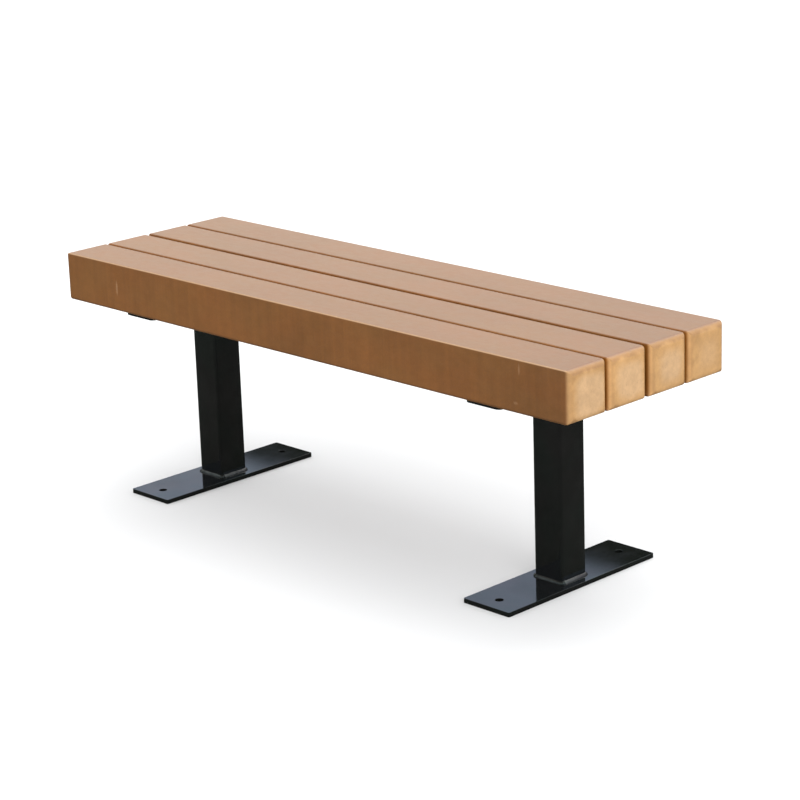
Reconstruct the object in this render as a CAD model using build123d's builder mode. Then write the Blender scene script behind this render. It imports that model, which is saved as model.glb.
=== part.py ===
"""Backless park bench: four plastic lumber slats on two welded steel pedestal legs.

Millimetres, +X along the seat, +Y towards the back, +Z up.
The origin is on the ground, under the middle of the seat.
"""
import os
from math import atan2, degrees, sqrt

from build123d import *

# ---- seat slats, near-square plastic lumber ----
SLAT_LENGTH = 1219.2
SLAT_WIDTH = 87.5
SLAT_DEPTH = 86.0
SLAT_END_RADIUS = 11.0
SLAT_EDGE_RADIUS = 2.5
SEAT_HEIGHT = 432.0
OUTER_GAP = 6.0
MIDDLE_GAP = 9.0

# ---- pedestal legs: square tube between two lengths of flat bar ----
LEG_X = 419.0
POST_SIZE = 60.0
POST_CORNER_RADIUS = 5.0
POST_WALL = 3.2
BASE_LENGTH = 355.0
BASE_WIDTH = 100.0
BASE_THICKNESS = 8.0
BASE_CORNER_RADIUS = 3.0
SEAT_PLATE_LENGTH = 352.0
SEAT_PLATE_WIDTH = 76.0
SEAT_PLATE_THICKNESS = 7.0
SEAT_PLATE_CORNER_RADIUS = 10.0
PLATE_EDGE_RADIUS = 0.4
WELD_LEG = 5.5
WELD_LAND = 0.6

# ---- anchor holes, left empty for the ground anchors ----
ANCHOR_HOLE_DIAMETER = 14.0
ANCHOR_SPACING = 292.0

# ---- lag screws and washers, driven up into the slats ----
SCREW_DIAMETER = 9.5
SCREW_ROOT_DIAMETER = 7.0
SCREW_LENGTH = 64.0
SCREW_SMOOTH_LENGTH = 17.0
SCREW_POINT_LENGTH = 7.0
SCREW_POINT_DIAMETER = 1.0
THREAD_COUNT = 11
HEAD_ACROSS_FLATS = 14.3
HEAD_HEIGHT = 6.1
HEAD_CHAMFER = 1.2
WASHER_DIAMETER = 21.0
WASHER_HOLE_DIAMETER = 10.4
WASHER_THICKNESS = 1.8
SCREW_CLEARANCE_DIAMETER = 11.0
SCREW_SPREAD = 44.0
INNER_SCREW_Y = 60.0
PILOT_DIAMETER = 9.7
PILOT_EXTRA_DEPTH = 3.0

# ---- places worked out from the sizes above ----
SLAT_BOTTOM = SEAT_HEIGHT - SLAT_DEPTH
SEAT_PLATE_BOTTOM = SLAT_BOTTOM - SEAT_PLATE_THICKNESS
POST_HEIGHT = SEAT_PLATE_BOTTOM - BASE_THICKNESS
SCREW_SEAT = SEAT_PLATE_BOTTOM - WASHER_THICKNESS
PILOT_DEPTH = SCREW_SEAT + SCREW_LENGTH + PILOT_EXTRA_DEPTH - SLAT_BOTTOM
INNER_SLAT_Y = (MIDDLE_GAP + SLAT_WIDTH) / 2
OUTER_SLAT_Y = INNER_SLAT_Y + SLAT_WIDTH + OUTER_GAP
WELD_TAPER = degrees(atan2(WELD_LEG - WELD_LAND, WELD_LEG))
LEGS = {"left": -LEG_X, "right": LEG_X}

# Each slat's middle, and the line of its screws. Those of the two inner slats
# stand further out than the slat's middle, so that a socket clears the post.
SLATS = {
    "front_slat": (-OUTER_SLAT_Y, -OUTER_SLAT_Y),
    "middle_front_slat": (-INNER_SLAT_Y, -INNER_SCREW_Y),
    "middle_back_slat": (INNER_SLAT_Y, INNER_SCREW_Y),
    "back_slat": (OUTER_SLAT_Y, OUTER_SLAT_Y),
}
SCREW_X = [-SCREW_SPREAD / 2, SCREW_SPREAD / 2]


def screw_grid(leg_x, screw_lines):
    """The screw points of one leg on the given lines along the seat."""
    return [(leg_x + x, y) for y in screw_lines for x in SCREW_X]


os.makedirs("parts", exist_ok=True)

# ---- slats: a bar with well rounded ends, eased long edges and blind pilot holes ----
for slat_name, (slat_y, screw_y) in SLATS.items():
    with BuildPart() as slat:
        with BuildSketch(Plane.XY.offset(SLAT_BOTTOM)):
            with Locations((0, slat_y)):
                Rectangle(SLAT_LENGTH, SLAT_WIDTH)
        extrude(amount=SLAT_DEPTH)
        fillet(slat.faces().filter_by(Axis.X).edges(), SLAT_END_RADIUS)
        fillet(slat.edges().filter_by(Axis.X), SLAT_EDGE_RADIUS)
        with BuildSketch(Plane.XY.offset(SLAT_BOTTOM)):
            for leg_x in LEGS.values():
                with Locations(*screw_grid(leg_x, [screw_y])):
                    Circle(PILOT_DIAMETER / 2)
        extrude(amount=PILOT_DEPTH, mode=Mode.SUBTRACT)
    slat.part.label = slat_name
    export_step(slat.part, f"parts/{slat_name}.step")

# ---- one lag screw, its head's bearing face at height 0 and its shank upwards ----
head_corner_radius = HEAD_ACROSS_FLATS / sqrt(3)
thread_start = SCREW_SMOOTH_LENGTH
thread_pitch = (SCREW_LENGTH - SCREW_POINT_LENGTH - SCREW_SMOOTH_LENGTH) / THREAD_COUNT
shank_outline = [(0, 0), (SCREW_DIAMETER / 2, 0), (SCREW_DIAMETER / 2, thread_start)]
for turn in range(THREAD_COUNT):
    turn_start = thread_start + turn * thread_pitch
    shank_outline.append((SCREW_ROOT_DIAMETER / 2, turn_start + thread_pitch / 3))
    shank_outline.append((SCREW_ROOT_DIAMETER / 2, turn_start + thread_pitch * 2 / 3))
    shank_outline.append((SCREW_DIAMETER / 2, turn_start + thread_pitch))
shank_outline.append((SCREW_POINT_DIAMETER / 2, SCREW_LENGTH))
shank_outline.append((0, SCREW_LENGTH))

with BuildPart() as lag_screw:
    with BuildSketch(Plane.XY.offset(-HEAD_HEIGHT)):
        RegularPolygon(HEAD_ACROSS_FLATS / 2, 6, major_radius=False)
    extrude(amount=HEAD_HEIGHT)
    with BuildSketch(Plane.XZ):
        with BuildLine():
            Polyline(
                (0, 0),
                (head_corner_radius, 0),
                (head_corner_radius, -HEAD_HEIGHT + HEAD_CHAMFER / 2),
                (head_corner_radius - HEAD_CHAMFER, -HEAD_HEIGHT),
                (0, -HEAD_HEIGHT),
                close=True,
            )
        make_face()
    revolve(axis=Axis.Z, mode=Mode.INTERSECT)
    with BuildSketch(Plane.XZ):
        with BuildLine():
            Polyline(*shank_outline, close=True)
        make_face()
    revolve(axis=Axis.Z)

# ---- the two legs and what fastens them to the slats ----
for side, leg_x in LEGS.items():
    base_plane = Plane((leg_x, 0, 0))
    weld_plane = Plane((leg_x, 0, BASE_THICKNESS))
    seat_plate_plane = Plane((leg_x, 0, SEAT_PLATE_BOTTOM))
    seat_weld_plane = Plane((leg_x, 0, SEAT_PLATE_BOTTOM), z_dir=(0, 0, -1))
    screw_points = screw_grid(0, [screw_y for _, screw_y in SLATS.values()])

    with BuildPart() as base_plate:
        with BuildSketch(base_plane):
            RectangleRounded(BASE_WIDTH, BASE_LENGTH, BASE_CORNER_RADIUS)
            with GridLocations(0, ANCHOR_SPACING, 1, 2):
                Circle(ANCHOR_HOLE_DIAMETER / 2, mode=Mode.SUBTRACT)
        extrude(amount=BASE_THICKNESS)
        fillet(base_plate.faces().filter_by(Axis.Z).edges(), PLATE_EDGE_RADIUS)
    base_plate.part.label = f"{side}_base_plate"
    export_step(base_plate.part, f"parts/{side}_base_plate.step")

    with BuildPart() as post:
        with BuildSketch(weld_plane):
            RectangleRounded(POST_SIZE, POST_SIZE, POST_CORNER_RADIUS)
            offset(amount=-POST_WALL, mode=Mode.SUBTRACT)
        extrude(amount=POST_HEIGHT)
    post.part.label = f"{side}_post"
    export_step(post.part, f"parts/{side}_post.step")

    with BuildPart() as seat_plate:
        with BuildSketch(seat_plate_plane):
            RectangleRounded(SEAT_PLATE_WIDTH, SEAT_PLATE_LENGTH, SEAT_PLATE_CORNER_RADIUS)
        extrude(amount=SEAT_PLATE_THICKNESS)
        fillet(seat_plate.faces().filter_by(Axis.Z).edges(), PLATE_EDGE_RADIUS)
        with BuildSketch(seat_plate_plane):
            with Locations(*screw_points):
                Circle(SCREW_CLEARANCE_DIAMETER / 2)
        extrude(amount=SEAT_PLATE_THICKNESS, mode=Mode.SUBTRACT)
    seat_plate.part.label = f"{side}_seat_plate"
    export_step(seat_plate.part, f"parts/{side}_seat_plate.step")

    # A fillet weld leans on its plate and leaves a narrow land against the post.
    for place, plane in (("base", weld_plane), ("seat", seat_weld_plane)):
        with BuildPart() as weld:
            with BuildSketch(plane):
                weld_outside = POST_SIZE + 2 * WELD_LEG
                RectangleRounded(weld_outside, weld_outside, POST_CORNER_RADIUS + WELD_LEG)
            extrude(amount=WELD_LEG, taper=WELD_TAPER)
            with BuildSketch(plane):
                RectangleRounded(POST_SIZE, POST_SIZE, POST_CORNER_RADIUS)
            extrude(amount=WELD_LEG, mode=Mode.SUBTRACT)
        weld.part.label = f"{side}_{place}_weld"
        export_step(weld.part, f"parts/{side}_{place}_weld.step")

    with BuildPart() as washers:
        with BuildSketch(Plane((leg_x, 0, SCREW_SEAT))):
            with Locations(*screw_points):
                Circle(WASHER_DIAMETER / 2)
                Circle(WASHER_HOLE_DIAMETER / 2, mode=Mode.SUBTRACT)
        extrude(amount=WASHER_THICKNESS)
    washers.part.label = f"{side}_washers"
    export_step(washers.part, f"parts/{side}_washers.step")

    with BuildPart() as lag_screws:
        with Locations(*[(leg_x + x, y, SCREW_SEAT) for x, y in screw_points]):
            add(lag_screw.part)
    lag_screws.part.label = f"{side}_lag_screws"
    export_step(lag_screws.part, f"parts/{side}_lag_screws.step")
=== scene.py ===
"""Looks of the backless bench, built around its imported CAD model. Metres, +X along the seat, +Z up."""
import math
import random

import bmesh
import bpy
from mathutils import Matrix, Vector, noise


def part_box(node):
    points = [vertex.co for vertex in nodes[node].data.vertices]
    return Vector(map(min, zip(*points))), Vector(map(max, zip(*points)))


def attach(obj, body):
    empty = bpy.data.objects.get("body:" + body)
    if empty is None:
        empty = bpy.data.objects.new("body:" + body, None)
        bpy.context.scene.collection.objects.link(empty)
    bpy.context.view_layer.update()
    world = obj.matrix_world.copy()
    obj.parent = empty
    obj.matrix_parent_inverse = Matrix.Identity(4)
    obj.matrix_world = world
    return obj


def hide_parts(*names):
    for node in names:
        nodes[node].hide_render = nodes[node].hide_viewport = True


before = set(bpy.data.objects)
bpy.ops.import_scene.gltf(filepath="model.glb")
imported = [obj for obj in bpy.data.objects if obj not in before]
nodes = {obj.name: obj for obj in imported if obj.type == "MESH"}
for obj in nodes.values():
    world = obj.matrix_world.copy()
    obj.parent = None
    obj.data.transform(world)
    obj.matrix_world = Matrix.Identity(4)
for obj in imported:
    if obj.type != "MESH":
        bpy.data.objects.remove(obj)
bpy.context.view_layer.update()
seat_half_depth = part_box("back_slat")[1].y
scene = bpy.context.scene

SIDES = ["left", "right"]
RANDOM_SEED = 48
rng = random.Random(RANDOM_SEED)

# ---- camera: where the photographer stood, looking across the seat's near right end ----
CAMERA_PLACE = (3.0621, -2.9230, 1.5155)
CAMERA_YAW = -0.79927
CAMERA_PITCH = 0.29603
CAMERA_ROLL = 0.03363
FOCAL_TO_WIDTH = 3.2128
SENSOR_WIDTH = 36.0
VIEW_DEPTH = 100.0

# ---- nodes: a mix node's colour sockets, and the values between which most of a noise lies ----
MIX_COLOUR_A = 6
MIX_COLOUR_B = 7
MIX_COLOUR_RESULT = 2
NOISE_SPAN = (0.3, 0.7)
NOISE_MIDDLE = (0.35, 0.65)
PATTERN_SHIFT = 50

# ---- studio ----
FLOOR_HALF_WIDTH = 20.0
FLOOR_COLOUR = (0.696, 0.702, 0.709, 1.0)
DOME_LIGHT = (1.25, 1.25, 1.25, 1.0)
BACKDROP_WHITE = (1.0, 1.0, 1.0, 1.0)
# What gloss mirrors. The sky's and the ground's fades are in the sine of the height, the glow's in the
# cosine of the angle off its direction, the front sky's in the Y looked towards, the hedge's in metres.
DARK_GROUND = (0.10, 0.10, 0.09, 1.0)
GROUND_FADE = (-0.05, 0.05)
HORIZON_GLOW = (2.25, 2.10, 1.70, 1.0)
GLOW_DIRECTION = (-0.72, 0.69, 0.0)
GLOW_FADE = (0.74, 0.88)
SKY_LOW = (0.68, 0.79, 1.00, 1.0)
SKY_LOW_FADE = (0.24, 0.32)
SKY_HIGH = (1.84, 1.84, 1.76, 1.0)
SKY_HIGH_FADE = (0.40, 0.60)
FRONT_SKY_SHARE = 0.4
FRONT_SKY_FADE = (-0.5, 0.3)
MIRRORED_FLOOR = (0.077, 0.079, 0.070, 1.0)
HEDGE_BLACK = (0.020, 0.026, 0.017, 1.0)
HEDGE_PLACE_Y = 1.0
HEDGE_SPAN_X = (-5, 1)
HEDGE_TOP_FADE = (0.45, 0.51)
SUNS = [
    # name, azimuth that it shines from, elevation, strength, angular size (degrees), mirrored by gloss
    ("back_softbox", 120.0, 62.0, 1.34, 50.0, True),
    ("side_softbox", -30.0, 42.0, 1.34, 50.0, False),
]

# ---- plastic lumber: a saturated moulded skin over a paler core, bared by the routed ends ----
SKIN_COLOUR = (0.172, 0.063, 0.0085)
SKIN_RUDDY = (0.176, 0.0618, 0.0075)
SKIN_SALLOW = (0.169, 0.0638, 0.0085)
RIM_COLOUR = (0.468, 0.260, 0.097)
CORE_COLOUR = (0.50, 0.31, 0.155)
SCUFF_COLOUR = (0.42, 0.25, 0.13)
SLATS = {
    # slat: (tone of its skin, tone of its core, depths from the end's edges where the core starts
    # and where it is full, rim colour left in it)
    "front_slat": (1.00, 1.00, (0.002, 0.020), 0.0),
    "middle_front_slat": (1.00, 1.04, (0.006, 0.024), 0.0),
    "middle_back_slat": (0.99, 1.00, (0.009, 0.030), 0.0),
    "back_slat": (0.98, 0.98, (0.009, 0.036), 0.50),
}
# Fades between two kinds of face, in a part of the surface's outward direction.
END_TURN = (0.14, 0.76)
UPRIGHT_TURN = (0.4, 0.8)
LEVEL_TURN = (0.05, 0.45)
# How much of the cut shows at the end's edges, and the depths between which it grows to all of it.
END_UPRIGHT_SHARE = 0.81
END_LEVEL_SHARE = 0.57
END_FLAT = (0.0010, 0.0080)
# The contours of an end: how square, how far off the section's middle, and how far they wander.
END_SQUARENESS = 4.0
# CORE_OFFSET's shift back (Y) widens the darker rim on the front side: painted shade of the front's rounded
# end edge, which faces away from the light.
CORE_OFFSET = (0.0, 0.0045, -0.0030)
CORE_WOBBLE = 0.003
# Patterns, in waves a metre along X, Y and Z, and how strongly they tint. A tint of two values is
# for level and for upright faces. A span holds the pattern's values between which a thing shows.
BROAD_WAVES = (4.0, 9.0, 5.0)
BROAD_TINT = (0.05, 0.11)
HUE_WAVES = (9.0, 16.0, 16.0)
MOTTLE_WAVES = (55, 90, 90)
MOTTLE_TINT = 0.04
STREAK_WAVES = (85, 3, 3)
STREAK_TINT = (0.01, 0.06)
FINE_WAVES = (330, 330, 330)
FINE_TINT = 0.04
GRAIN_WAVES = (7, 240, 240)
SCUFF_WAVES = (40, 30, 22)
SCUFF_SPAN = (0.76, 0.86)
SCUFF_STRENGTH = 0.15
CLOUD_WAVES = (34, 34, 34)
CLOUD_TINT = 0.07
BLOTCH_WAVES = (90, 90, 90)
BLOTCH_TINT = 0.05
CUT_FINE_TINT = 0.03
PITS_PER_METRE = 240
PIT_SPAN = (0.22, 0.10)
PITTED_WAVES = (60, 60, 60)
PITTED_SPAN = (0.48, 0.62)
PIT_PAINTED_SHADE = 0.35
MARKS = {
    # pale handling marks: along the seat, height, half width, half height, strength
    "front_slat": [
        (-0.465, 0.388, 0.0032, 0.016, 0.40),
        (0.508, 0.417, 0.0018, 0.012, 0.30),
        (0.500, 0.362, 0.0060, 0.003, 0.20),
    ],
}
# A mark's fade is in the square of the distance from its middle. The fine pattern breaks it up, given
# by two of the pattern's values and the mark's share at each.
MARK_FADE = (1.0, 0.1)
MARK_GRAIN = (0.25, 0.6, 0.5, 1.0)
# A painted highlight on the front top edge's rounding, with its fades in the surface's outward direction.
PAINTED_EDGE_HIGHLIGHT_COLOUR = (0.40, 0.24, 0.125)
PAINTED_EDGE_HIGHLIGHT = {"front_slat": 0.90}
EDGE_HIGHLIGHT_ABOVE = (0.20, 0.50)
EDGE_HIGHLIGHT_BELOW = (0.995, 0.90)
EDGE_HIGHLIGHT_FRONT = (-0.10, -0.35)
# The long lower edges are darker, as painted shade, and the sides that face another slat, which catch less
# light, are painted paler, as painted light.
LOW_EDGE_PAINTED_SHADE = 0.72
LOW_EDGE_HEIGHTS = (0.0050, 0.0025)
LOW_EDGE_FADE = (0.0, 0.5)
INNER_FACE_PAINTED_LIGHT = 0.35
INNER_FACE_DEPTHS = (0.010, 0.004)
LUMBER_ROUGHNESS = (0.39, 0.43)
LUMBER_IOR = 1.6
# Bumps: height in metres, strength. The grain's strength is for level and for upright faces.
FINE_RELIEF = (0.00025, 0.6)
GRAIN_RELIEF_DEPTH = 0.0003
GRAIN_RELIEF_STRENGTH = (0.25, 0.5)
PIT_RELIEF = (-0.0006, 0.8)

# ---- black powder coat ----
COAT_COLOUR = (0.0035, 0.0040, 0.0036)
DUST_COLOUR = (0.016, 0.017, 0.018)
WEAR_AND_HIGHLIGHT_COLOUR = (0.080, 0.082, 0.080)
# The gloss drifts from place to place between two strengths and between two tints.
COAT_GLEAM = (0.40, 0.60)
COAT_COOL = (0.80, 1.00, 0.98, 1.0)
COAT_WARM = (1.00, 0.90, 1.00, 1.0)
# Roughness, and how much the coat is made paler: on the flat steel as rubbed wear, and on the weld beads as
# a painted highlight.
GLOSS = (0.06, 0.10)
COAT_RUBBING = 0.03
BEAD_SATIN = (0.20, 0.32)
BEAD_HIGHLIGHT_STRENGTH = 1.0
COAT_IOR = 1.5
# Dust lies on what faces up: specks, and a film, given by two of its pattern's values and the dust at each.
FACING_UP = (0.5, 0.95)
FILM_WAVES = (14, 14, 14)
PATCH_WAVES = (9, 9, 9)
SPECKS_PER_METRE = 160
SPECK_SPAN = (0.16, 0.06)
SPECK_DUST = 0.4
DUST_RAMP = (0.4, 0.75, 0.05, 0.5)
WEAR_WAVES = (42, 42, 42)
WEAR_SPAN = (0.42, 0.62)
ORANGE_PEEL_WAVES = (320, 320, 320)
ORANGE_PEEL_RELIEF = (0.0003, 0.06)

# ---- zinc plate ----
ZINC_COLOUR = (0.50, 0.50, 0.49)
ZINC_SHADE = (0.36, 0.37, 0.38)
ZINC_ROUGHNESS = (0.30, 0.48)
ZINC_CLOUD_WAVES = (180, 180, 180)
ZINC_GRAIN_WAVES = (900, 900, 900)
ZINC_RELIEF = (0.0001, 0.4)

# ---- weld beads: a hand-laid run along each side of a post ----
POST_CORNER_RADIUS = 0.005
BEAD_STATIONS = 880
BEAD_FACETS = 9
BEAD_FULLNESS = 1.35
BEAD_SHARE = 0.77
BEAD_DRIFT = 0.07
DRIFT_WAVES = 70
BEAD_SINK = 0.0003
RIPPLE_PITCH = 0.0023
RIPPLE_HEIGHT = 0.00034
RIPPLE_CRESCENT = 0.0016
RIPPLE_WANDER = 0.6
WANDER_WAVES = 90
RIPPLE_UNEVENNESS = 0.5
RIPPLE_STEP = 1.7
# A run starts with a blob (extra share of the bead, reach in metres) and ends in a crater.
START_BLOB = (0.10, 0.0035)
END_CRATER_LENGTH = 0.0018
# The mesh attribute that paints a highlight on the beads as paler coat: more at a run's start (extra share,
# reach in metres), and less and less from a share of its length on.
BEAD_HIGHLIGHT_ATTRIBUTE = "painted_highlight"
BEAD_HIGHLIGHT_START = (1.10, 0.0045)
BEAD_HIGHLIGHT_FADE_START = 0.55
BEAD_HIGHLIGHT_FADE = 0.95
WELDS = {
    # weld: (1 standing on the foot plate, -1 hanging from the seat plate; how deep each run's end dips;
    # how much painted highlight each run gets, as paler coat)
    "left_base_weld": (1, (0.55, 0.20, 0.30, 0.35), (0.46, 0.28, 0.40, 0.45)),
    "left_seat_weld": (-1, (0.30, 0.25, 0.35, 0.20), (0.30, 0.35, 0.30, 0.40)),
    "right_base_weld": (1, (0.06, 0.25, 0.30, 0.22), (0.30, 0.58, 0.45, 0.40)),
    "right_seat_weld": (-1, (0.25, 0.35, 0.20, 0.30), (0.35, 0.30, 0.40, 0.30)),
}


def shade(colour, tone=1.0):
    """A colour scaled by tone, with the alpha that a colour socket takes."""
    return (colour[0] * tone, colour[1] * tone, colour[2] * tone, 1.0)


class Nodes:
    """A node tree, with a short call for each kind of node that goes into it."""

    def __init__(self, tree):
        self.tree = tree

    def node(self, kind, **settings):
        made = self.tree.nodes.new(kind)
        for key, value in settings.items():
            setattr(made, key, value)
        return made

    def feed(self, socket, value):
        if isinstance(value, bpy.types.NodeSocket):
            self.tree.links.new(value, socket)
        elif value is not None:
            socket.default_value = value

    def math(self, operation, a, b=None):
        made = self.node("ShaderNodeMath", operation=operation)
        self.feed(made.inputs[0], a)
        self.feed(made.inputs[1], b)
        return made.outputs[0]

    def vector(self, operation, a, b):
        made = self.node("ShaderNodeVectorMath", operation=operation)
        self.feed(made.inputs[0], a)
        self.feed(made.inputs[1], b)
        return made.outputs["Vector"]

    def split(self, vector):
        made = self.node("ShaderNodeSeparateXYZ")
        self.feed(made.inputs[0], vector)
        return made.outputs

    def noise(self, place, stretch, detail=2.0, roughness=0.5):
        """Smooth noise with that many waves a metre along each axis."""
        made = self.node("ShaderNodeTexNoise")
        self.feed(made.inputs["Vector"], self.vector("MULTIPLY", place, stretch))
        made.inputs["Scale"].default_value = 1.0
        made.inputs["Detail"].default_value = detail
        made.inputs["Roughness"].default_value = roughness
        return made.outputs["Fac"]

    def cells(self, place, per_metre):
        """The distance to the nearest of that many scattered points a metre."""
        made = self.node("ShaderNodeTexVoronoi")
        self.feed(made.inputs["Vector"], place)
        made.inputs["Scale"].default_value = per_metre
        return made.outputs["Distance"]

    def ramp(self, value, start, end, low=0.0, high=1.0):
        """Goes smoothly from low, where value is start, to high, where it is end."""
        made = self.node("ShaderNodeMapRange", interpolation_type="SMOOTHSTEP")
        for socket, number in zip(made.inputs, (value, start, end, low, high)):
            self.feed(socket, number)
        return made.outputs["Result"]

    def blend(self, factor, a, b):
        made = self.node("ShaderNodeMix", data_type="RGBA")
        self.feed(made.inputs["Factor"], factor)
        self.feed(made.inputs[MIX_COLOUR_A], a)
        self.feed(made.inputs[MIX_COLOUR_B], b)
        return made.outputs[MIX_COLOUR_RESULT]

    def tint(self, colour, value, spread):
        """The colour made darker and paler by up to spread, as value goes through a noise's span."""
        swing = self.math("MULTIPLY", self.ramp(value, *NOISE_SPAN, -1.0, 1.0), spread)
        return self.scale(colour, self.math("ADD", 1.0, swing))

    def scale(self, colour, level):
        made = self.node("ShaderNodeVectorMath", operation="SCALE")
        self.feed(made.inputs[0], colour)
        self.feed(made.inputs["Scale"], level)
        return made.outputs["Vector"]

    def bump(self, height, distance, strength, under=None):
        made = self.node("ShaderNodeBump")
        made.inputs["Distance"].default_value = distance
        self.feed(made.inputs["Strength"], strength)
        self.feed(made.inputs["Height"], height)
        if under is not None:
            self.feed(made.inputs["Normal"], under)
        return made.outputs["Normal"]


class Recipe(Nodes):
    """A new material's node tree."""

    def __init__(self, name):
        self.material = bpy.data.materials.new(name)
        self.material.use_nodes = True
        super().__init__(self.material.node_tree)
        self.shader = self.tree.nodes["Principled BSDF"]
        self.position = self.node("ShaderNodeTexCoord").outputs["Object"]
        self.normal = self.node("ShaderNodeNewGeometry").outputs["Normal"]

    def shifted_place(self):
        """The position with a random shift, so that no two materials share a pattern."""
        shift = [rng.uniform(-PATTERN_SHIFT, PATTERN_SHIFT) for _ in range(3)]
        return self.vector("ADD", self.position, shift)


def plastic_lumber(name, skin_tone, core_tone, core_depths, rim_left):
    """Moulded tan plastic with faint streaks and scuffs, and mottled, pitted ends cut to the core."""
    r = Recipe(f"plastic_lumber_{name}")
    low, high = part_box(name)
    centre = (low + high) / 2
    half = (high - low) / 2
    place = r.shifted_place()
    broad = r.noise(place, BROAD_WAVES, detail=3.0)
    hue = r.noise(place, HUE_WAVES, detail=3.0)
    mottle = r.noise(place, MOTTLE_WAVES, detail=3.0)
    fine = r.noise(place, FINE_WAVES, detail=3.0)
    cloud = r.noise(place, CLOUD_WAVES, detail=4.0, roughness=0.6)

    facing_x, facing_y, facing_z = r.split(r.normal)
    upright = r.ramp(r.math("ABSOLUTE", facing_y), *UPRIGHT_TURN)
    down_streaks = r.noise(place, STREAK_WAVES, detail=5.0, roughness=0.62)
    long_grain = r.noise(place, GRAIN_WAVES, detail=2.0)
    grain = r.blend(upright, long_grain, down_streaks)

    skin = r.blend(r.ramp(hue, *NOISE_MIDDLE), shade(SKIN_RUDDY, skin_tone), shade(SKIN_SALLOW, skin_tone))
    skin = r.tint(skin, broad, r.ramp(upright, 0.0, 1.0, *BROAD_TINT))
    skin = r.tint(skin, mottle, MOTTLE_TINT)
    skin = r.tint(skin, down_streaks, r.ramp(upright, 0.0, 1.0, *STREAK_TINT))
    skin = r.tint(skin, fine, FINE_TINT)
    scuffs = r.ramp(r.noise(place, SCUFF_WAVES, detail=2.0), *SCUFF_SPAN, 0.0, SCUFF_STRENGTH)
    skin = r.blend(scuffs, skin, shade(SCUFF_COLOUR))
    for at_x, at_z, half_width, half_height, strength in MARKS.get(name, ()):
        off = r.vector("SUBTRACT", r.position, (at_x, 0.0, at_z))
        off_x, _, off_z = r.split(r.vector("DIVIDE", off, (half_width, 1.0, half_height)))
        spread = r.math("ADD", r.math("MULTIPLY", off_x, off_x), r.math("MULTIPLY", off_z, off_z))
        mark = r.math("MULTIPLY", r.ramp(spread, *MARK_FADE, 0.0, strength), upright)
        mark = r.math("MULTIPLY", mark, r.ramp(fine, *MARK_GRAIN))
        skin = r.blend(mark, skin, shade(SCUFF_COLOUR))

    if name in PAINTED_EDGE_HIGHLIGHT:
        # The front top edge's rounding is painted paler: a painted highlight.
        above = r.ramp(facing_z, *EDGE_HIGHLIGHT_ABOVE)
        rounded = r.math("MULTIPLY", above, r.ramp(facing_z, *EDGE_HIGHLIGHT_BELOW))
        highlight_and_wear = r.math("MULTIPLY", rounded, r.ramp(facing_y, *EDGE_HIGHLIGHT_FRONT, 0.0, PAINTED_EDGE_HIGHLIGHT[name]))
        skin = r.blend(highlight_and_wear, skin, shade(PAINTED_EDGE_HIGHLIGHT_COLOUR))

    # How far in from the edges of the slat's section, on a contour with rounded corners.
    # The middle is offset, so the rim is wider on the front side: painted shade.
    _, across, rise = r.split(r.vector("SUBTRACT", r.position, centre + Vector(CORE_OFFSET)))
    across = r.math("POWER", r.math("DIVIDE", r.math("ABSOLUTE", across), half.y), END_SQUARENESS)
    rise = r.math("POWER", r.math("DIVIDE", r.math("ABSOLUTE", rise), half.z), END_SQUARENESS)
    outness = r.math("POWER", r.math("ADD", across, rise), 1 / END_SQUARENESS)
    inward = r.math("MULTIPLY", r.math("SUBTRACT", 1.0, outness), half.y)
    inward = r.math("ADD", inward, r.ramp(cloud, *NOISE_SPAN, -CORE_WOBBLE, CORE_WOBBLE))
    flat_end = r.ramp(r.math("ABSOLUTE", facing_x), *END_TURN)
    edge_share = r.ramp(r.math("ABSOLUTE", facing_z), *LEVEL_TURN, END_UPRIGHT_SHARE, END_LEVEL_SHARE)
    end = r.math("MULTIPLY", flat_end, r.ramp(inward, *END_FLAT, edge_share, 1.0))
    core = r.ramp(inward, *core_depths, 0.0, 1.0 - rim_left)
    cut = r.blend(core, shade(RIM_COLOUR, core_tone), shade(CORE_COLOUR, core_tone))
    cut = r.tint(cut, cloud, CLOUD_TINT)
    cut = r.tint(cut, r.noise(place, BLOTCH_WAVES, detail=3.0, roughness=0.6), BLOTCH_TINT)
    cut = r.tint(cut, fine, CUT_FINE_TINT)
    pits = r.ramp(r.cells(place, PITS_PER_METRE), *PIT_SPAN)
    pitted = r.math("MULTIPLY", pits, r.ramp(r.noise(place, PITTED_WAVES), *PITTED_SPAN))
    pitted = r.math("MULTIPLY", pitted, r.math("MULTIPLY", end, core))
    # The pits are also painted darker: painted shade inside them.
    cut = r.blend(r.math("MULTIPLY", pitted, PIT_PAINTED_SHADE), cut, shade(SKIN_COLOUR))

    colour = r.blend(end, skin, cut)
    _, place_y, place_z = r.split(r.position)
    # Painted shade: the long lower edges darken towards the foot.
    above_foot = r.math("SUBTRACT", place_z, low.z)
    low_edge_shade = r.ramp(above_foot, *LOW_EDGE_HEIGHTS, 1.0, LOW_EDGE_PAINTED_SHADE)
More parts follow.
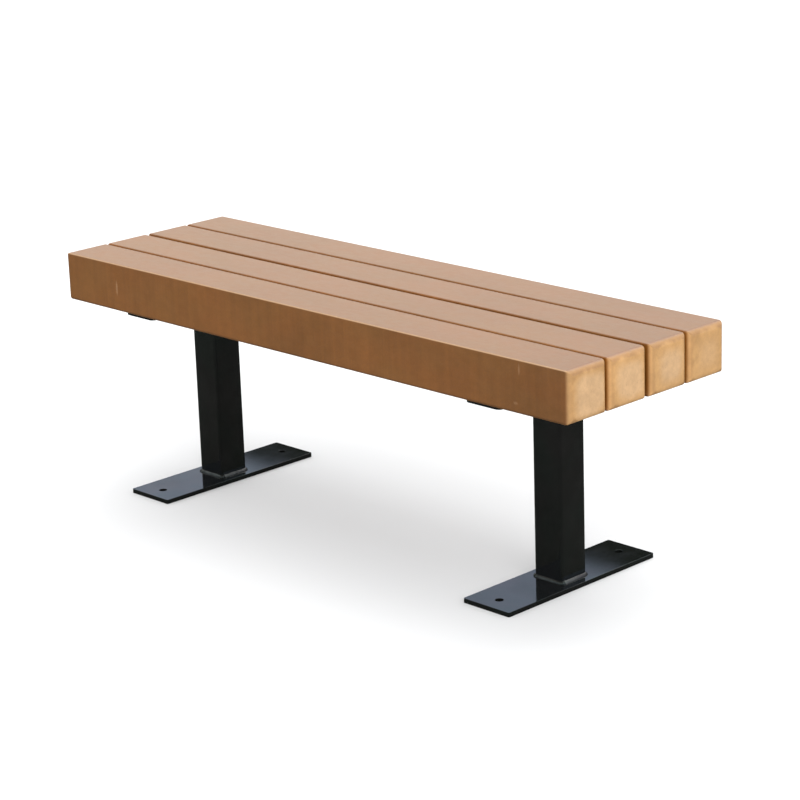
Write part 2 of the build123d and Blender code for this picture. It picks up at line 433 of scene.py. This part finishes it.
    # Painted light: the upright sides that face another slat are lifted paler.
    within_seat = r.math("SUBTRACT", seat_half_depth, r.math("ABSOLUTE", place_y))
    buried = r.ramp(within_seat, *INNER_FACE_DEPTHS, 1.0, 0.0)
    gap_face_light = r.math("MULTIPLY", r.math("MULTIPLY", buried, upright), INNER_FACE_PAINTED_LIGHT)
    low_edge_shade = r.ramp(flat_end, *LOW_EDGE_FADE, low_edge_shade, 1.0)
    level = r.math("MULTIPLY", low_edge_shade, r.math("ADD", 1.0, gap_face_light))
    r.feed(r.shader.inputs["Base Color"], r.scale(colour, level))
    r.feed(r.shader.inputs["Roughness"], r.ramp(mottle, *NOISE_SPAN, *LUMBER_ROUGHNESS))
    relief = r.bump(fine, *FINE_RELIEF)
    relief = r.bump(grain, GRAIN_RELIEF_DEPTH, r.ramp(upright, 0.0, 1.0, *GRAIN_RELIEF_STRENGTH), relief)
    relief = r.bump(pitted, *PIT_RELIEF, relief)
    r.feed(r.shader.inputs["Normal"], relief)
    r.shader.inputs["IOR"].default_value = LUMBER_IOR
    return r.material


def powder_coat(name, roughness, highlight_and_wear, where=None):
    """Black powder coat: faint orange peel, a thin film of dust on what faces up, and paler patches: rubbed
    wear, and a painted highlight on the beads.

    Where names a mesh attribute that says how much of the paler coat each point gets: on the beads, a
    painted highlight.
    """
    r = Recipe(name)
    place = r.shifted_place()
    up = r.ramp(r.split(r.normal)[2], *FACING_UP)
    film = r.noise(place, FILM_WAVES, detail=4.0)
    patch = r.noise(place, PATCH_WAVES, detail=3.0, roughness=0.6)
    specks = r.ramp(r.cells(place, SPECKS_PER_METRE), *SPECK_SPAN)
    dust = r.math("ADD", r.ramp(film, *DUST_RAMP), r.math("MULTIPLY", specks, SPECK_DUST))
    dust = r.math("MULTIPLY", up, dust)
    highlight_and_wear_mask = r.ramp(r.noise(place, WEAR_WAVES, detail=2.0), *WEAR_SPAN, highlight_and_wear / 2, highlight_and_wear)
    if where:
        highlight_and_wear_mask = r.math("MULTIPLY", highlight_and_wear_mask, r.node("ShaderNodeAttribute", attribute_name=where).outputs["Fac"])
    # Paler coat: rubbed wear in patches, and on the beads a painted highlight where the attribute gives it.
    coat = r.blend(highlight_and_wear_mask, shade(COAT_COLOUR), shade(WEAR_AND_HIGHLIGHT_COLOUR))
    r.feed(r.shader.inputs["Base Color"], r.blend(dust, coat, shade(DUST_COLOUR)))
    r.feed(r.shader.inputs["Roughness"], r.ramp(film, *NOISE_SPAN, *roughness))
    r.feed(r.shader.inputs["Specular IOR Level"], r.ramp(patch, *NOISE_SPAN, *COAT_GLEAM))
    r.feed(r.shader.inputs["Specular Tint"], r.blend(r.ramp(film, *NOISE_MIDDLE), COAT_COOL, COAT_WARM))
    orange_peel = r.noise(place, ORANGE_PEEL_WAVES, detail=1.0)
    r.feed(r.shader.inputs["Normal"], r.bump(orange_peel, *ORANGE_PEEL_RELIEF))
    r.shader.inputs["IOR"].default_value = COAT_IOR
    return r.material


def zinc_plate():
    """Dull zinc plated steel, cloudy from handling."""
    r = Recipe("zinc_plated_steel")
    cloud = r.noise(r.position, ZINC_CLOUD_WAVES, detail=3.0)
    r.feed(r.shader.inputs["Base Color"], r.blend(cloud, shade(ZINC_SHADE), shade(ZINC_COLOUR)))
    r.feed(r.shader.inputs["Roughness"], r.ramp(cloud, *NOISE_SPAN, *ZINC_ROUGHNESS))
    r.feed(r.shader.inputs["Normal"], r.bump(r.noise(r.position, ZINC_GRAIN_WAVES), *ZINC_RELIEF))
    r.shader.inputs["Metallic"].default_value = 1.0
    return r.material


def dress(name, material):
    """Gives a CAD node its finish."""
    for slot in nodes[name].material_slots:
        slot.link = "DATA"
        slot.material = material


def outline(half, radius, travel):
    """The place and outward direction at a travel along a rounded square, from its front left corner."""
    straight = 2 * (half - radius)
    side, along = divmod(travel, straight + radius * math.pi / 2)
    angle = max(0.0, along - straight) / radius
    outward = Vector((math.sin(angle), -math.cos(angle), 0.0))
    place = Vector((min(along, straight) - straight / 2, radius - half, 0.0)) + outward * radius
    turn = Matrix.Rotation(side * math.pi / 2, 3, "Z")
    return turn @ place, turn @ outward


def add_bead(name, side):
    """Replaces a plain CAD weld by a rippled bead, closed all the way round its post."""
    upward, dips, run_highlights = WELDS[name]
    weld_low, weld_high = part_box(name)
    post_low, post_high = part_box(f"{side}_post")
    half = (post_high.x - post_low.x) / 2
    centre = (post_low + post_high) / 2
    foot = weld_low.z if upward > 0 else weld_high.z
    leg = (weld_high.z - weld_low.z) * BEAD_SHARE
    middle = leg / 2
    run = 2 * (half - POST_CORNER_RADIUS) + (POST_CORNER_RADIUS + middle) * math.pi / 2
    seed = rng.uniform(0, 100)

    mesh = bmesh.new()
    painted_highlight = mesh.verts.layers.float.new(BEAD_HIGHLIGHT_ATTRIBUTE)
    rings = []
    for station in range(BEAD_STATIONS):
        travel = station / BEAD_STATIONS * 4 * run
        place, outward = outline(half + middle, POST_CORNER_RADIUS + middle, travel)
        from_start = travel % run
        to_end = run - from_start
        swell = 1.0 + BEAD_DRIFT * noise.noise((travel * DRIFT_WAVES, seed, 0.0))
        swell += START_BLOB[0] * math.exp(-((from_start / START_BLOB[1]) ** 2))
        swell -= dips[int(travel // run)] * math.exp(-((to_end / END_CRATER_LENGTH) ** 2))
        ring = [(-BEAD_SINK, -BEAD_SINK), (leg * swell, -BEAD_SINK)]
        for facet in range(BEAD_FACETS):
            lean = facet / (BEAD_FACETS - 1)
            angle = lean * math.pi / 2
            crown = math.sin(lean * math.pi)
            ripple = (travel + RIPPLE_CRESCENT * crown) / RIPPLE_PITCH
            ripple += RIPPLE_WANDER * noise.noise((travel * WANDER_WAVES, 0.0, seed))
            number = math.floor(ripple)
            uneven = RIPPLE_UNEVENNESS * noise.noise((number * RIPPLE_STEP, seed, seed))
            height = RIPPLE_HEIGHT * (1.0 + uneven)
            grow = leg * swell + height * crown * math.sqrt(math.sin((ripple - number) * math.pi))
            reach = math.cos(angle) ** (2 / BEAD_FULLNESS) if facet < BEAD_FACETS - 1 else 0.0
            climb = math.sin(angle) ** (2 / BEAD_FULLNESS)
            ring.append((grow * reach, grow * climb))
        ring.append((-BEAD_SINK, leg * swell))
        # Painted highlight on the bead, as paler coat: strongest at a run's start and fading along its
        # length.
        fading = max(0.0, from_start / run - BEAD_HIGHLIGHT_FADE_START) / (1.0 - BEAD_HIGHLIGHT_FADE_START)
        highlight_level = 1.0 - BEAD_HIGHLIGHT_FADE * fading
        highlight_level += BEAD_HIGHLIGHT_START[0] * math.exp(-((from_start / BEAD_HIGHLIGHT_START[1]) ** 2))
        rings.append([
            mesh.verts.new((
                centre.x + place.x + outward.x * (out - middle),
                centre.y + place.y + outward.y * (out - middle),
                foot + upward * up,
            ))
            for out, up in ring
        ])
        for vertex in rings[-1]:
            vertex[painted_highlight] = highlight_level * run_highlights[int(travel // run)]
    for here, there in zip(rings, rings[1:] + rings[:1]):
        for corner in range(len(here)):
            after = (corner + 1) % len(here)
            mesh.faces.new((here[corner], here[after], there[after], there[corner])).smooth = True
    bmesh.ops.recalc_face_normals(mesh, faces=mesh.faces)
    data = bpy.data.meshes.new(f"{name}_bead")
    mesh.to_mesh(data)
    mesh.free()
    bead = bpy.data.objects.new(f"{name}_bead", data)
    scene.collection.objects.link(bead)
    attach(bead, "root")
    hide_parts(name)
    return bead


def add_camera():
    """A camera turned by yaw about the vertical, tipped down by pitch and rolled about its own axis."""
    forward = Vector((
        math.sin(CAMERA_YAW) * math.cos(CAMERA_PITCH),
        math.cos(CAMERA_YAW) * math.cos(CAMERA_PITCH),
        -math.sin(CAMERA_PITCH),
    ))
    level_right = Vector((math.cos(CAMERA_YAW), -math.sin(CAMERA_YAW), 0.0))
    level_down = forward.cross(level_right)
    right = level_right * math.cos(CAMERA_ROLL) + level_down * math.sin(CAMERA_ROLL)
    down = level_down * math.cos(CAMERA_ROLL) - level_right * math.sin(CAMERA_ROLL)
    data = bpy.data.cameras.new("camera")
    data.sensor_width = SENSOR_WIDTH
    data.lens = FOCAL_TO_WIDTH * SENSOR_WIDTH
    data.clip_end = VIEW_DEPTH
    camera = bpy.data.objects.new("camera", data)
    scene.collection.objects.link(camera)
    turn = Matrix((right, -down, -forward)).transposed().to_4x4()
    camera.matrix_world = Matrix.Translation(CAMERA_PLACE) @ turn
    scene.camera = camera


def add_sheet(name, corners, material):
    """A flat four-cornered stage piece."""
    mesh = bpy.data.meshes.new(name)
    mesh.from_pydata(corners, [], [(0, 1, 2, 3)])
    mesh.materials.append(material)
    sheet = bpy.data.objects.new(name, mesh)
    scene.collection.objects.link(sheet)
    return sheet


def add_floor():
    """A plain pale floor, which gloss mirrors as the darker ground of the outdoors."""
    r = Recipe("pale_floor")
    mirrored = r.node("ShaderNodeLightPath").outputs["Is Glossy Ray"]
    r.feed(r.shader.inputs["Base Color"], r.blend(mirrored, FLOOR_COLOUR, MIRRORED_FLOOR))
    r.shader.inputs["Roughness"].default_value = 1.0
    r.shader.inputs["Specular IOR Level"].default_value = 0.0
    w = FLOOR_HALF_WIDTH
    add_sheet("floor", [(-w, -w, 0), (w, -w, 0), (w, w, 0), (-w, w, 0)], r.material)


def add_hedge():
    """A dark screen behind the bench, seen only in the gloss of its feet, with a soft upper edge."""
    material = bpy.data.materials.new("dark_hedge")
    material.use_nodes = True
    h = Nodes(material.node_tree)
    h.tree.nodes.clear()
    height = h.split(h.node("ShaderNodeTexCoord").outputs["Object"])["Z"]
    dark = h.node("ShaderNodeEmission")
    dark.inputs["Color"].default_value = HEDGE_BLACK
    clear = h.node("ShaderNodeBsdfTransparent")
    edge = h.node("ShaderNodeMixShader")
    h.feed(edge.inputs[0], h.ramp(height, *HEDGE_TOP_FADE))
    h.feed(edge.inputs[1], dark.outputs["Emission"])
    h.feed(edge.inputs[2], clear.outputs["BSDF"])
    h.feed(h.node("ShaderNodeOutputMaterial").inputs["Surface"], edge.outputs["Shader"])
    left, right = HEDGE_SPAN_X
    y, top = HEDGE_PLACE_Y, HEDGE_TOP_FADE[1]
    hedge = add_sheet("hedge", [(left, y, 0), (right, y, 0), (right, y, top), (left, y, top)], material)
    hedge.visible_camera = False
    hedge.visible_diffuse = False
    hedge.visible_shadow = False


def add_world():
    """A white dome for the light, and a brighter, cooler sky over dark ground for gloss to mirror."""
    world = bpy.data.worlds.new("studio")
    scene.world = world
    world.use_nodes = True
    w = Nodes(world.node_tree)
    path = w.node("ShaderNodeLightPath")
    direction = w.node("ShaderNodeTexCoord").outputs["Generated"]
    _, backward, height = w.split(direction)
    toward_glow = w.node("ShaderNodeVectorMath", operation="DOT_PRODUCT")
    w.feed(toward_glow.inputs[0], direction)
    w.feed(toward_glow.inputs[1], GLOW_DIRECTION)
    horizon = w.blend(w.ramp(toward_glow.outputs["Value"], *GLOW_FADE), SKY_LOW, HORIZON_GLOW)
    sky = w.blend(w.ramp(height, *SKY_LOW_FADE), horizon, SKY_LOW)
    sky = w.blend(w.ramp(height, *SKY_HIGH_FADE), sky, SKY_HIGH)
    dimmed = w.scale(sky, w.ramp(backward, *FRONT_SKY_FADE, FRONT_SKY_SHARE))
    mirrored = w.blend(w.ramp(height, *GROUND_FADE), DARK_GROUND, dimmed)
    lit = w.blend(path.outputs["Is Glossy Ray"], DOME_LIGHT, mirrored)
    seen = w.blend(path.outputs["Is Camera Ray"], lit, BACKDROP_WHITE)
    w.feed(w.tree.nodes["Background"].inputs["Color"], seen)


def add_suns():
    """Broad, far lights, high behind the bench and at its right end."""
    for name, azimuth, elevation, strength, size, glossy in SUNS:
        data = bpy.data.lights.new(name, "SUN")
        data.energy = strength
        data.angle = math.radians(size)
        sun = bpy.data.objects.new(name, data)
        scene.collection.objects.link(sun)
        sun.visible_glossy = glossy
        sun.rotation_euler = (0.0, math.radians(90.0 - elevation), math.radians(azimuth))


add_camera()
scene.view_settings.view_transform = "Standard"
add_world()
add_suns()
add_floor()
add_hedge()

for slat, recipe in SLATS.items():
    dress(slat, plastic_lumber(slat, *recipe))
black = powder_coat("black_powder_coat", GLOSS, COAT_RUBBING)
bead_black = powder_coat("black_powder_coat_on_welds", BEAD_SATIN, BEAD_HIGHLIGHT_STRENGTH, BEAD_HIGHLIGHT_ATTRIBUTE)
zinc = zinc_plate()
for side in SIDES:
    for part in ("base_plate", "post", "seat_plate"):
        dress(f"{side}_{part}", black)
    for part in ("base_weld", "seat_weld"):
        add_bead(f"{side}_{part}", side).data.materials.append(bead_black)
    for part in ("washers", "lag_screws"):
        dress(f"{side}_{part}", zinc)
